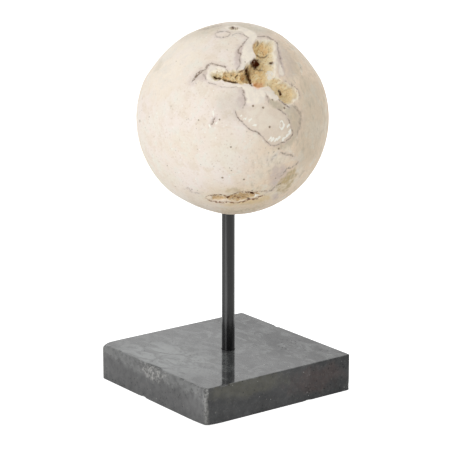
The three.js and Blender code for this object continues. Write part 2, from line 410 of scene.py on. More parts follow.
# a dull veil lies over the left of the top, with smears across the rest
veiled = s.broken("veil", drift, 0.36, 0.62, 0.35, 1.4)
smears = s.broken("polish", drift, 0.46, 0.68, 0, 0.45)
pits = s.times(s.specks(2.2, (0.14, 0.24), 0.9, shift=(0.1, 0, 0)),
               s.step(s.noise(12, shift=(0, 0.5, 0)), 0.46, 0.6))
flecks = s.times(s.specks(3.6, (0.06, 0.12), 0.6), s.step(s.noise(7, shift=(0, 0.5, 0)), 0.5, 0.6))
# scuffs, bruises and worn edges show paler and crumbled
crumbs = s.step(s.plus(grain, s.times(mottle, 0.5)), 0.66, 0.9)
chip = s.step(s.plus(s.layer("worn"), s.times(s.noise(1.2, shift=(0.2, 0, 0)), 0.5)), 0.65, 1.2)
colour = s.over(
    s.mix(s.step(cloud, 0.35, 0.65), (46, 47, 48), (58, 59, 60)),
    # the whole left face is paler: dust, and a painted sheen standing in for the lamp's reflection
    (s.broken("dust_and_sheen", mottle, 0.3, 0.62, 0.25, 0.85), (87, 87, 87)),
    (s.broken("olive_cloud", mottle, 0.3, 0.6, 0.5, 0.9), (80, 79, 68)),
    (s.broken("plum_cloud", mottle, 0.3, 0.6, 0.4, 0.85), (72, 60, 58)),
    (s.step(mottle, 0.5, 0.72, 0, 0.35), (84, 86, 86)),
    (s.step(grain, 0.52, 0.78, 0, 0.4), (104, 104, 102)),
    (s.math("MAXIMUM", veiled, smears), (116, 120, 119)),
    (s.broken("scuff", mottle, 0.35, 0.6, 0.15, 0.75), (118, 119, 118)),
    (s.broken("bruise", mottle, 0.3, 0.55, 0.2, 0.9), s.mix(crumbs, (76, 76, 75), (172, 171, 168))),
    (s.times(s.layer("strip"), 0.6), s.mix(crumbs, (104, 104, 102), (158, 157, 154))),
    (pits, (30, 31, 31)),
    (flecks, (170, 170, 166)),
    (s.times(chip, 0.75), s.mix(crumbs, (88, 88, 88), (160, 160, 157))))
haze = s.times(s.layer("dull"), s.step(drift, 0.3, 0.7, 0.08, 0.16))
rough = s.plus(s.plus(haze, s.step(drift, 0.4, 0.7, 0.03, 0.10)), s.times(chip, 0.45))
rough = s.plus(rough, s.times(s.math("MAXIMUM", s.layer("scuff"), s.layer("bruise")), 0.25))
shine = s.plus(s.times(pits, -0.3), s.step(drift, 0.35, 0.65, -0.06, 0.10))
shine = s.plus(shine, s.step(s.layer("dull"), 0, 1, 0.46, 0.24))
relief = s.bump(s.noise(0.8, detail=2), 0.006)
relief = s.bump(s.times(grain, s.math("MAXIMUM", s.layer("bruise"), chip)), 0.25, relief)
slab.data.materials.clear()
slab.data.materials.append(s.finish(
    Base_Color=colour, Roughness=rough, Normal=relief, IOR=1.5, Specular_IOR_Level=shine))

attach(slab, "root")
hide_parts("base_slab")

# ---------------------------------------------------------------------------
# The rod: a straight length of round steel bar with its ends chamfered,
# lacquered gloss black. It stands in the slab's hole and carries the ball.
# ---------------------------------------------------------------------------

rod_chamfer = 0.5
rod_sides = 128
rod_stations = 12           # places along the bar where its width is set


def rod_tree():
    """A bar swept along a line, as wide as its chamfers let it be at each end."""
    tree = bpy.data.node_groups.new("round_bar", "GeometryNodeTree")
    for name in ("Radius", "Bottom", "Top", "Chamfer"):
        tree.interface.new_socket(name, in_out="INPUT", socket_type="NodeSocketFloat")
    tree.interface.new_socket("Finish", in_out="INPUT", socket_type="NodeSocketMaterial")
    tree.interface.new_socket("Geometry", in_out="OUTPUT", socket_type="NodeSocketGeometry")
    given = add_node(tree, "NodeGroupInput").outputs

    def add(kind, inputs=None, **settings):
        return add_node(tree, kind, inputs, **settings).outputs[0]

    def calc(operation, a, b):
        return add("ShaderNodeMath", {0: a, 1: b}, operation=operation)

    line = add("GeometryNodeMeshLine", {"Count": rod_stations}, mode="OFFSET")
    length = calc("SUBTRACT", given["Top"], given["Bottom"])
    inner = calc("SUBTRACT", length, calc("MULTIPLY", given["Chamfer"], 2.0))
    share = calc("DIVIDE", calc("SUBTRACT", add("GeometryNodeInputIndex"), 1.0), rod_stations - 3.0)
    between = calc("ADD", given["Chamfer"], calc("MULTIPLY", share, inner))
    at_end = calc("MINIMUM", calc("MAXIMUM", between, 0.0), length)
    spot = add("ShaderNodeCombineXYZ", {"Z": calc("ADD", at_end, given["Bottom"])})
    placed = add("GeometryNodeSetPosition", {"Geometry": line, "Position": spot})
    curve = add("GeometryNodeMeshToCurve", {"Mesh": placed})
    from_end = calc("MINIMUM", at_end, calc("SUBTRACT", length, at_end))
    lost = calc("SUBTRACT", given["Chamfer"], calc("MINIMUM", from_end, given["Chamfer"]))
    width = calc("SUBTRACT", given["Radius"], lost)
    ring = add("GeometryNodeCurvePrimitiveCircle", {"Resolution": rod_sides, "Radius": 1.0})
    swept = add("GeometryNodeCurveToMesh", {
        "Curve": curve, "Profile Curve": ring, "Scale": width, "Fill Caps": True})
    real = add("GeometryNodeRealizeInstances", {"Geometry": swept})
    done = add("GeometryNodeSetMaterial", {"Geometry": real, "Material": given["Finish"]})
    add_node(tree, "NodeGroupOutput", {0: done})
    return tree


s = Shader("black_lacquer")
dust = s.step(s.noise(9, detail=5, roughness=0.7), 0.45, 0.75, 0, 0.5)
black_lacquer = s.finish(
    Base_Color=s.mix(dust, (12, 12, 13), (24, 24, 25)),
    Roughness=s.step(s.noise(14, detail=3), 0.3, 0.7, 0.16, 0.26),
    Normal=s.bump(s.noise(1.4, detail=2), 0.004),
    IOR=1.5,
)

rod = new_object("black_rod", bpy.data.meshes.new("black_rod"))
sweep = rod.modifiers.new("round_bar", "NODES")
sweep.node_group = rod_tree()
rod_inputs = {
    "Radius": rod_radius * MM, "Bottom": rod_low[2] * MM, "Top": rod_high[2] * MM,
    "Chamfer": rod_chamfer * MM, "Finish": black_lacquer,
}
for item in sweep.node_group.interface.items_tree:
    if item.name in rod_inputs:
        sweep[item.identifier] = rod_inputs[item.name]
bpy.context.view_layer.update()
bar = bpy.data.meshes.new_from_object(rod.evaluated_get(bpy.context.evaluated_depsgraph_get()))
rod.modifiers.clear()
rod.data = bar
offset = Vector((rod_axis[0] * MM, rod_axis[1] * MM, 0))
for vertex in bar.vertices:
    vertex.co += offset
bar.shade_smooth()
bar.set_sharp_from_angle(angle=math.radians(30))

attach(rod, "root")
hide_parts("rod")

# ---------------------------------------------------------------------------
# The ball: one block of pale weathered stone, ground to a round but left
# unpolished. Its show face opens into a natural hollow lined with ochre crust,
# and lilac-grey seams, stains and pores run through it. It is bored for the rod.
# ---------------------------------------------------------------------------

ball_radius = 57.8
ball_low, ball_high = np.array(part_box("stone_ball")) / MM
ball_centre = np.array([*((ball_low + ball_high) / 2)[:2], ball_high[2] - ball_radius])
face_azimuth, face_tilt = math.radians(-36.75), math.radians(11.6)

# The show face has its own axes: right and up across it, and out of it. The
# marks on the stone are laid out there in mm right of and above its middle.
face_out = np.array([
    math.sin(face_azimuth) * math.cos(face_tilt),
    -math.cos(face_azimuth) * math.cos(face_tilt),
    math.sin(face_tilt)])
face_right = np.array([math.cos(face_azimuth), math.sin(face_azimuth), 0])
face_up = np.cross(face_out, face_right)
face_axes = np.stack([face_right, face_up, face_out])

# Chambers of the hollow and the two lesser scars: a tapering lobe between two
# points (right, up, radius), its depth and the width of its wall.
hollows = [
    ((17.6, 41.0, 6.4), (19.3, 36.0, 5.9), 5.8, 3.4),
    ((21.8, 43.2, 3.6), (22.8, 41.0, 3.0), 4.0, 2.6),
    ((18.2, 31.0, 7.0), (16.8, 24.6, 7.9), 8.0, 3.4),
    ((12.2, 31.4, 3.6), (9.6, 24.6, 5.2), 10.5, 2.8),
    ((5.2, 24.0, 4.9), (-4.0, 24.2, 3.7), 4.8, 2.6),
    ((-8.2, 25.2, 4.3), (-10.4, 24.6, 4.4), 3.2, 3.6),
    ((24.0, 20.4, 4.4), (32.4, 13.7, 6.2), 4.8, 3.4),
    ((-0.7, 52.9, 0.9), (2.7, 52.8, 0.9), 6.0, 0.8),
    ((-11.0, -46.7, 1.7), (3.0, -46.3, 3.0), 1.5, 1.4),
    ((3.0, -46.3, 3.0), (15.5, -44.2, 1.4), 1.5, 1.4),
]
chamber_blend = 5           # the higher, the sharper the ridges between chambers
rim_wander, floor_relief = 0.7, 1.0
undercut, undercut_from = 0.30, 2.5     # share of the depth beyond the second number

# Places ground slightly flat: where each one faces, right and up, and its depth.
flats = [(-0.375, -0.927, 0.7), (-0.743, 0.669, 1.0), (-0.375, 0.927, 0.7), (0.743, 0.669, 0.8)]
flat_spread = 0.94          # cosine of the angle at which a flat ends

pore_depth, scattered_pores = 0.4, 110
pore_reach = 0.998          # cosine of the angle beyond which a pore has no effect
stain_fade = (-26, 4)       # out of the ball's middle plane, where stains fade in from nothing
front = 0.1 * ball_radius   # how far out of that plane the hollows are looked for
sound = 0.05                # a hollow no deeper than this counts as none
ball_steps = 46             # divisions of an icosahedron's edge
finest_ball_edge = 0.4

# Seams and cracks: layer that they colour, half width, strength, depth, points. The cracks' dark brown is
# painted shade with some grime.
seams = [
    ("vein", 0.5, 0.7, 0.1, [(3.7, 49.4), (7.4, 48.4), (8.6, 46.4), (6.2, 43.4), (3.7, 40.2),
        (3.3, 37.9), (4.8, 36.8), (3.6, 33.7), (4.4, 31.8), (2.9, 29.1), (2.1, 27.6)]),
    ("vein", 0.45, 0.85, 0.15, [(14.5, 47.6), (19.4, 47.9), (22.4, 46.6), (25.7, 44.3), (26.4, 42.2)]),
    ("vein", 0.5, 0.6, 0.05, [(26.4, 42.2), (26.3, 40.2), (26.8, 37.9), (27.5, 34.7), (28.2, 30.9)]),
    ("vein", 0.75, 0.95, 0.15, [(-23.6, 20.6), (-21.2, 23.9), (-19.4, 26), (-17.4, 27.2)]),
    ("vein", 0.6, 0.75, 0.1, [(-17.4, 27.2), (-15.4, 28.6), (-14.6, 30.3), (-12.4, 31.1), (-8.6, 30.3),
        (-5.2, 29.9), (-3.7, 28), (-2.6, 26.1)]),
    ("vein", 0.55, 0.6, 0.05, [(-17.6, 25.6), (-15.8, 23.4), (-14.9, 21.8)]),
    ("vein", 0.35, 0.75, 0.1, [(-14.2, 20.5), (-11.9, 19.7), (-9.7, 19)]),
    ("vein", 0.35, 0.35, 0, [(-8, 18.2), (-4, 17.6), (-0.5, 17.4), (3.5, 17.6)]),
    ("vein", 0.65, 0.6, 0.05, [(2, 18), (5.1, 17.1), (5.8, 14.5), (6.9, 11.1), (7, 8.6), (5.6, 5.4)]),
    ("vein", 0.45, 0.5, 0.05, [(18, 15.2), (19.6, 12.7), (20.4, 10.4), (20.2, 8.6)]),
    # the outline of the oval patch, and the wider contour to its right
    ("vein", 0.34, 0.9, 0.2, [(1.1, 4), (2.2, 1.4), (4.4, -1.6), (7, -3.9), (10.3, -6.9), (13.6, -7.8),
        (17, -10.8), (21, -15.1), (24.6, -15.8), (27.6, -14.5), (30.3, -13.5)]),
    ("vein", 0.34, 0.85, 0.15, [(30.3, -13.5), (32.4, -11.9), (34.7, -8.9), (33.9, -6), (32.8, -2.3),
        (31.6, 0)]),
    ("vein", 0.34, 0.9, 0.2, [(30.6, 1.5), (29.6, 2.7), (27.2, 4.5), (25.6, 5.4)]),
    ("vein", 0.45, 0.9, 0.15, [(26, 11.2), (29.1, 8.6), (31.4, 6.9), (32.6, 6.2)]),
    ("vein", 0.45, 0.6, 0.1, [(30.5, 21.5), (34.2, 18.9), (36.9, 17.2), (38.6, 14.3), (38.6, 12.2)]),
    ("vein", 0.9, 0.45, 0, [(34.5, 7), (37, 5.4), (39, 2.7), (39.3, -1.6), (38.6, -5.1), (37.2, -9.5)]),
    ("vein", 0.55, 0.65, 0.1, [(27.5, -19.8), (30, -20.6), (32.3, -21.3), (35.8, -22.3)]),
    ("vein", 0.45, 0.65, 0.1, [(38.3, -25.2), (37.1, -26.7), (34.4, -28.6), (31.7, -29.3), (29.9, -31.6),
        (28, -33.9)]),
    ("vein", 0.45, 0.6, 0.1, [(28.2, -37.4), (27, -38.9), (24.7, -40.1), (22.8, -42), (19.6, -43)]),
    ("vein", 0.45, 0.45, 0, [(19.8, -25.4), (20.3, -22.9)]),
    ("vein", 0.45, 0.45, 0, [(22.4, -24.4), (23.2, -22.6), (25.4, -20.6)]),
    ("vein", 0.45, 0.35, 0, [(-28.2, -41.4), (-25.8, -40.9), (-23.6, -43.2), (-18.6, -43.9)]),
    ("vein", 0.5, 1, 0.5, [(-10.2, 0.2), (-11.2, -2.1), (-12.4, -3.8)]),
    ("vein", 0.5, 0.4, 0, [(-20, 51.8), (-15.7, 52.8), (-11.1, 54.2), (-6.5, 54.6)]),
    ("vein", 0.35, 0.45, 0, [(-0.8, 47.8), (0.6, 48.8), (2.2, 49.6), (3.7, 49.4)]),
    ("vein", 0.4, 0.65, 0.05, [(-10.2, 49.2), (-8.6, 50.3), (-6, 50.8), (-3.4, 50.7), (-1.4, 49.5),
        (-2.8, 47.9), (-6, 47), (-8.9, 47.5), (-10.2, 49.2)]),
    # brown cracks in the hollow and round the lower scar: painted shade with some grime
    ("dirt", 1, 1, 2, [(8.5, 29.2), (7.8, 26.8), (8.7, 24.4), (9.4, 22), (10.8, 18.7)]),
    ("dirt", 0.75, 0.9, 1.2, [(-11.2, 24), (-9.6, 22.7), (-8, 22.5), (-6.3, 22.7)]),
    ("dirt", 0.6, 0.75, 0.8, [(-5.6, 22), (-2.7, 21.2), (0.1, 20.5), (3, 20.3)]),
    ("dirt", 0.7, 1, 1.8, [(21.6, 31.8), (23.7, 31.7)]),
    ("dirt", 0.35, 0.75, 0.6, [(11.6, 28.5), (13.5, 28.3), (15.9, 27.8), (17.3, 27.6)]),
    ("dirt", 0.6, 0.9, 1, [(26.9, 16.2), (27.3, 14.2), (28.2, 13)]),
    ("dirt", 0.4, 0.6, 0.5, [(14.3, 45.1), (14.7, 43.1), (14.1, 41.9)]),
    ("dirt", 0.5, 0.5, 0.6, [(13.8, 36.8), (15.7, 35.4), (18.4, 35.4), (20.9, 36.9)]),
    ("dirt", 0.5, 0.8, 0.8, [(1.2, 23.2), (2.9, 24.6)]),
    ("dirt", 0.4, 0.6, 0.5, [(-4.6, 24.6), (-3.4, 23.6)]),
    ("dirt", 0.4, 0.6, 0.5, [(-1.6, 25.2), (-0.4, 24.2)]),
    ("dirt", 0.35, 0.6, 0.4, [(3.2, 26.1), (6.2, 27.6), (7.4, 29.9)]),
    ("dirt", 0.7, 1, 0.8, [(-1.2, 53), (1, 52.9), (3.2, 52.3)]),
    ("rim", 0.4, 0.95, 0.5, [(-15.8, -46.3), (-13.9, -45.5), (-9, -44.7), (-4.6, -45.2), (-2.2, -45.9),
        (1.2, -43.9), (5, -42.9), (11.8, -43.2), (15.2, -42.8), (20.1, -42.3)]),
    ("rim", 0.5, 1, 0.4, [(-15.8, -46.6), (-12.4, -48.6), (-6.6, -49.3), (-2.7, -49.3), (1.7, -49.5),
        (6.1, -49), (9, -47.8), (12.9, -47.3), (16.7, -45.6), (18.7, -44.9)]),
    ("rim", 0.4, 0.8, 0.3, [(-3.7, -45.9), (-0.8, -47), (1.2, -45.7), (3.4, -46.4), (6.4, -45.6),
        (8.6, -46.6)]),
    ("dirt", 0.65, 1, 0.6, [(10.2, -43.6), (12.5, -43.6)]),
    ("dirt", 0.5, 0.8, 0.4, [(-3.6, -46.6), (-1.8, -46)]),
    ("dirt", 0.45, 0.7, 0.4, [(8.4, -46.5), (10, -47.4)]),
    # pale strokes: white streaks and the flecks along the patch's rim
    ("white", 0.45, 0.9, 0, [(-11.3, 4.6), (-11.1, 1)]),
    ("white", 0.5, 0.9, 0, [(-8.9, -1.6), (-9.9, -3.6)]),
    ("white", 0.5, 0.9, 0, [(-13.8, -3.6), (-12.8, -5.6)]),
    ("white", 0.7, 0.6, 0, [(4.2, 1), (5.2, 2.4)]),
    ("white", 0.6, 0.5, 0, [(6, -0.6), (8.2, 0.4)]),
    ("white", 0.7, 0.6, 0, [(9.2, -2.4), (9.8, -0.6), (11, -0.2)]),
    ("white", 0.6, 0.5, 0, [(11.6, -4.6), (13.6, -3.8)]),
    ("white", 0.6, 0.8, 0, [(26.9, -2.3), (28.2, -1.6), (29.3, -3.9), (28.6, -6.2), (27.3, -5.6),
        (26.9, -2.3)]),
]
# a row of short white dashes inside the patch's lower right edge
for right, up in ((20.4, -13), (22.2, -13.4), (23.8, -13.6), (25.6, -12.6), (28.4, -13), (30, -11.8),
                  (31.4, -10.6), (32.2, -8.8), (31.2, -5.6)):
    seams.append(("white", 0.62, 1, 0, [(right, up), (right + 1.6, up + 2.4)]))

# Stains, bands and some painted shade: layer, strength, width of the soft edge, outline.
stains = [
    # the right of the ball: its own beige, darkened further as painted shade away from the lamp
    ("beige", 1, 24, [(22, 62), (20, 30), (24, 0), (12, -24), (2, -44), (-6, -60), (60, -60), (70, 0),
        (60, 50)]),
    ("pale", 1, 1.2, [(8.8, 46.3), (12, 44.5), (11.6, 40), (12.5, 37), (10.5, 33.3), (7.5, 31),
        (5, 29.4), (4.8, 32), (5.2, 35.5), (5.4, 39.5), (7.8, 43.2)]),
    ("pale", 1, 0.8, [(5.1, 53.9), (9, 52.3), (12.9, 50.6), (14.2, 47.8), (12.5, 45), (9.2, 44.8),
        (8.6, 47.6), (6.2, 50), (4.1, 51.2), (1.2, 51), (-2.6, 51.8), (-4.6, 53.4), (1.2, 54.9)]),
    ("pale", 0.9, 1.2, [(-1, 19.4), (5, 18.8), (10, 17.2), (20, 15.4), (26, 13.4), (27.5, 10.8),
        (24.5, 9.8), (21.4, 11.6), (19.2, 14.2), (17.6, 9.4), (13, 8), (8.2, 8.8), (7.4, 12),
        (6.6, 16.8)]),
    ("pale", 0.8, 1.5, [(-15.4, 24.4), (-13.2, 28.6), (-8.6, 29.8), (-5, 29.4), (-3.2, 26.6), (-7, 24.6),
        (-11, 20.4), (-14.6, 21.6)]),
    ("pale", 0.8, 1, [(26.6, 31.2), (28, 30.8), (29.6, 25.6), (28.4, 24.4), (26.8, 25.4)]),
    ("pale", 0.5, 16, [(-50, 18), (-46, 32), (-36, 44), (-22, 50), (-16, 42), (-24, 30), (-34, 20),
        (-42, 12)]),
    ("patch", 0.9, 1, [(1.1, 4), (3.1, -0.6), (7, -3.9), (10.3, -6.9), (13.6, -7.8), (17, -10.8),
        (21, -15.1), (24.6, -15.8), (27.6, -14.5), (30.3, -13.5), (34, -9.4), (33.7, -7.2), (32.8, -2.3),
        (31.6, 0), (29.6, 2.7), (26.9, 4.7), (22.2, 5.6), (18.2, 7.6), (11.6, 7.6), (5.4, 5)]),
    ("shade", 0.5, 1.6, [(20, -13), (21, -15), (25, -15.6), (30, -13.2), (34, -9), (33, -5),
        (31.4, -5.4), (31.6, -8.4), (28, -11), (24, -11)]),
    ("lilac", 0.8, 2.2, [(5, 43), (6.6, 39), (6.6, 34.4), (4.8, 30), (1.6, 28.4), (0.8, 32.6),
        (1.4, 37.6), (2.6, 41.8)]),
    ("lilac", 0.8, 1.8, [(25.2, 44.6), (26.6, 43), (28.6, 37), (29.6, 30), (30.4, 25.4), (27.2, 24),
        (26.2, 30), (25.8, 38)]),
    ("lilac", 0.35, 4, [(27, 43), (32, 40), (36, 33), (35, 24), (30, 23), (30, 32)]),
    ("lilac", 0.6, 2.6, [(3.6, 17.4), (6.2, 17), (8, 12.4), (8.4, 8.4), (4.6, 5), (1.8, 9.6),
        (3.4, 13.6)]),
    ("lilac", 0.5, 1.2, [(17.8, 14.9), (20.2, 13.2), (21.2, 9.6), (19, 9.6), (17.8, 12.4)]),
    ("lilac", 0.6, 2, [(-22.6, 22.4), (-17.4, 26.6), (-14.4, 27.4), (-14.4, 21), (-18, 21.4)]),
    ("lilac", 0.65, 4, [(24, -28), (30, -27), (33, -31), (28, -38), (23, -41), (21, -34)]),
    ("lilac", 0.7, 2, [(23.7, -45), (26.6, -43.6), (27, -46.7), (24, -48.6)]),
    ("shade", 0.34, 8, [(-9, 12), (0.4, 16), (6, 12), (6.6, 4), (3, -1), (-4, -1), (-10, 4)]),
    ("shade", 0.85, 2.2, [(20.8, 11.6), (24.8, 10.4), (30, 6.6), (28, 4), (23.6, 5.6), (20.4, 7.6)]),
    ("shade", 0.7, 3, [(31.9, 6.3), (34.3, 7.4), (37, 5.8), (39.5, 1.7), (39.5, -2.3), (38.1, -7.9),
        (36.1, -12.6), (33.1, -16.2), (29, -18), (25, -17.5), (29, -14.5), (33, -11.9), (34.7, -8.9),
        (34, -6.9), (33.3, -2.9), (31.9, 0), (28.9, 3.7)]),
    ("shade", 0.6, 1.4, [(-18.2, 27.4), (-15.6, 29), (-14.6, 27.6), (-15.8, 25.4), (-19, 25.4)]),
    # grey mottling on the right limb, partly painted shade
    ("shade", 0.45, 8, [(40, 24), (52, 20), (56, 0), (50, -24), (38, -30), (37, -12), (40, 0), (39, 12)]),
    ("shade", 0.4, 5, [(26, 46), (31, 42), (38, 33), (40, 25), (33, 23), (31, 31), (28, 39)]),
    ("shade", 0.6, 2.6, [(-46.4, 27.4), (-44.4, 31.6), (-41.8, 34.6), (-40.6, 32.6), (-43, 28.4)]),
    # painted shade darkening the top of the ball
    ("shade", 0.85, 9, [(-30, 47), (-16, 54), (4, 56), (22, 51), (14, 50), (-4, 54), (-18, 49)]),
    ("olive", 0.9, 2.4, [(26.4, -38.5), (29.3, -34.5), (32.7, -31.1), (36.2, -29.2), (38, -32),
        (36.4, -36.2), (33.5, -40.2), (30.6, -43.8), (26.6, -44.6), (26, -41.5)]),
    ("olive", 0.5, 1.6, [(-5.1, -41.7), (-0.8, -40.2), (6, -40.7), (6, -42.2), (0.2, -43.4),
        (-4.6, -43.4)]),
    ("ochre", 0.24, 8, [(-20, -42), (-10, -40), (8, -40), (20, -41), (26, -45), (16, -51), (-4, -53),
        (-18, -49)]),
    # an ochre band under the lower scar: painted shadow below it
    ("ochre", 0.7, 2.4, [(-12, -50.2), (2, -51.4), (14, -50.4), (22, -47.5), (22, -44.4), (10, -47.8),
        (-4, -50)]),
    # a greenish band along the bottom: painted shade and a painted reflection of the dark base
    ("olive", 0.5, 5, [(-24, -50), (-12, -53.6), (4, -54.6), (18, -51.4), (12, -56), (-4, -57.5),
        (-18, -54.8)]),
    # inside the large hollow: tan and rust crusts, a cave darkened with painted shade, white crystals
    ("tan", 0.9, 4, [(10.6, 43), (13.7, 44.6), (16.8, 43.6), (20, 41.7), (21.4, 39.7), (20.4, 36.7),
        (17.4, 35.2), (14.5, 35.6), (13.1, 38.1), (11.2, 40)]),
    ("tan", 0.5, 2.6, [(10.6, 28.3), (13.5, 28.3), (16.4, 27.9), (17.3, 24), (16.8, 20.2), (17.3, 17.4),
        (13.4, 17.4), (10.6, 18), (9.6, 23), (9.2, 25.9)]),
    ("tan", 1, 1.4, [(-6.1, 26.4), (-2.2, 26.2), (1.1, 25.4), (3.5, 25.4), (3.9, 21), (0.1, 20.4),
        (-3.2, 21), (-6.6, 22.6)]),
    ("tan", 0.9, 1.4, [(3.9, 27.3), (6.8, 27.8), (8.2, 25.9), (9.6, 23), (10.1, 19.2), (7.7, 20.1),
        (3.9, 20.6), (3, 23.5)]),
    ("olive", 0.8, 1.2, [(-10.6, 24.2), (-8.4, 25.2), (-6.4, 24), (-6.1, 22.5), (-8.4, 22.1), (-11, 23)]),
    ("tan", 0.35, 1.6, [(27.8, 15), (30.3, 16), (32.2, 14.5), (31.7, 12.6), (29.3, 12.2), (27.8, 13.5)]),
    ("tan", 0.35, 3, [(22.5, 23), (28, 22), (36, 18), (38, 13), (34, 8.6), (29, 9), (26, 13), (22, 17)]),
    ("rust", 0.55, 1.6, [(11.5, 20), (14.4, 20.4), (17.8, 20), (17.7, 17.4), (14.4, 17), (11.5, 17.8)]),
    ("white", 0.6, 1.5, [(19.4, 27.2), (23.5, 27), (23.8, 22.1), (19.5, 21.6)]),
    ("dirt", 1, 1.4, [(10.2, 31.6), (11.6, 33.8), (14.6, 34), (15.4, 31.2), (13.7, 28.9), (10.9, 29.4)]),
    # the lower scar: tan stone, paler at the left, crystals at the right
    ("tan", 0.9, 1.2, [(-3.5, -45.6), (1.2, -44.2), (5, -43.2), (14, -43.2), (17.6, -43.4), (12.9, -47),
        (6.1, -48.6), (-3, -49)]),
    ("tan", 0.85, 1.2, [(-15.2, -46.4), (-9, -45), (-3.5, -45.6), (-3.5, -49), (-12, -48.2)]),
    ("white", 0.7, 1.2, [(13.3, -43.7), (15.4, -44), (14.8, -46.3), (11.9, -46)]),
]

# Open pores with a dark bottom: right, up, radius.
face_pores = [
    (11.6, 7.0, 0.65), (17.4, 6.0, 0.65), (21.2, -5.1, 0.65), (29.8, 5.8, 0.7), (-54.9, -1.7, 0.8),
    (22.7, 10.6, 0.5), (-6.0, -34.4, 0.7), (6.5, -35.5, 0.6), (-1.1, -16.6, 0.5), (-7.6, -0.8, 0.5),
    (26.5, -17.6, 0.6),
]
layer_names = "vein rim pale patch lilac shade beige olive ochre tan rust white dirt".split()


def curve_through(points):
    """A smooth path through given points, four steps to each."""
    p = np.array([points[0], *points, points[-1]], float)
    path = []
    for i in range(1, len(p) - 2):
        for t in (0, 0.25, 0.5, 0.75):
            path.append(0.5 * (2 * p[i] + (p[i + 1] - p[i - 1]) * t
                               + (2 * p[i - 1] - 5 * p[i] + 4 * p[i + 1] - p[i + 2]) * t ** 2
                               + (3 * p[i] - p[i - 1] - 3 * p[i + 1] + p[i + 2]) * t ** 3))
    return np.array([*path, points[-1]])


seam_paths = [curve_through(points) for *_, points in seams]
stain_edges = [np.array([*points, points[0]], float) for *_, points in stains]


def to_segment(spot, start, end):
    """How far along a segment each point's nearest place on it is, 0 to 1, and how far off."""
    run = end - start
    t = np.clip((spot - start) @ run / max(run @ run, 1e-9), 0, 1)
    return t, lengths(spot - start - t[:, None] * run)


def to_path(place, path, margin):
    """Which points lie near a path, how far off, and how far along it they are."""
    near = np.flatnonzero(((place > path.min(0) - margin) & (place < path.max(0) + margin)).all(axis=1))
    spot = place[near]
    best = np.full(len(near), np.inf)
    along = np.zeros(len(near))
    for i in range(len(path) - 1):
        t, away = to_segment(spot, path[i], path[i + 1])
        closer = away < best
        best[closer] = away[closer]
        along[closer] = (i + t[closer]) / (len(path) - 1)
    return near, best, along


def wander(points, cell, seed):
    """Smooth noise in two directions, to make drawn edges stray."""
    return np.stack([lattice_noise(points, cell, seed), lattice_noise(points, cell, seed + 1)], axis=1)


def at_least(values, where, floor):
    """Raises the chosen values to the floor where they are below it."""
    values[where] = np.maximum(values[where], floor)


def enclosed(spot, outline):
    """Whether points lie inside a closed outline."""
    inside = np.zeros(len(spot), bool)
    for (x0, y0), (x1, y1) in zip(outline[:-1], outline[1:]):
        if y0 != y1:
            crosses = (spot[:, 1] > min(y0, y1)) & (spot[:, 1] <= max(y0, y1))
            inside ^= crosses & (spot[:, 0] < x0 + (spot[:, 1] - y0) * (x1 - x0) / (y1 - y0))
    return inside


def on_face(vectors):
    """Right, up and out on the show face, of points measured from the ball's centre."""
    place = vectors @ face_axes.T
    return place[:, :2], place[:, 2]


def waves(x, y, cell):
    """Soft folded waves between -1 and 1, the same as those of the solid."""
    turn = 2 * math.pi / cell
    first = np.sin(turn * (0.93 * x + 0.37 * y) + 1.3)
    second = np.sin(turn * (-0.48 * x + 1.07 * y) + 2.1 * first + 4.0)
    third = np.sin(turn * (0.71 * x - 0.83 * y) + 1.7 * second + 0.6)
    return (first + second + third) / 3


def inside_lobes(place):
    """How far inside each hollow's lobe the points lie."""
    right = place[:, 0] + rim_wander * waves(place[:, 0], place[:, 1], 9)
    up = place[:, 1] + rim_wander * waves(place[:, 1] + 31, place[:, 0], 7)
    spot = np.stack([right, up], axis=1)
    found = []
    for start, end, _, _ in hollows:
        t, away = to_segment(spot, np.array(start[:2]), np.array(end[:2]))
        found.append(start[2] + (end[2] - start[2]) * t - away)
    return np.array(found), waves(right, up, 6)


pore_source = np.random.RandomState(5)
scattered = pore_source.normal(size=(scattered_pores, 3))
scattered /= lengths(scattered)[:, None]
placed_pores = np.array([
    np.array([r, u, math.sqrt(ball_radius ** 2 - r * r - u * u)]) @ face_axes / ball_radius
    for r, u, _ in face_pores])
pore_ways = np.vstack([placed_pores, scattered])
scattered_sizes = pore_source.uniform(0.20, 0.45, scattered_pores)
pore_sizes = np.array([size for *_, size in face_pores] + list(scattered_sizes))


def pore_fit(ways):
    """Distance to the nearest pore's middle, in its own radii."""
    best = np.full(len(ways), 99.0)
    for way, size in zip(pore_ways, pore_sizes):
        facing = ways @ way
        near = facing > pore_reach
        away = ball_radius * np.sqrt(np.maximum(2 - 2 * facing[near], 0)) / size
        best[near] = np.minimum(best[near], away)
    return best


def hollow_depth(ways):
    """Depth of the hollows, in the same large forms as the solid's."""
    place, out = on_face(ways * ball_radius)
    depth = np.zeros(len(ways))
    near = np.flatnonzero(out > front)
    inside, lumps = inside_lobes(place[near])
    total = np.zeros(len(near))
    for found, (_, _, deep, wall) in zip(inside, hollows):
        swell = 1 + min(floor_relief / deep, 0.25) * lumps
        total += (deep * smooth(found, 0, wall) * swell) ** chamber_blend
    depth[near] = total ** (1 / chamber_blend)
    return depth


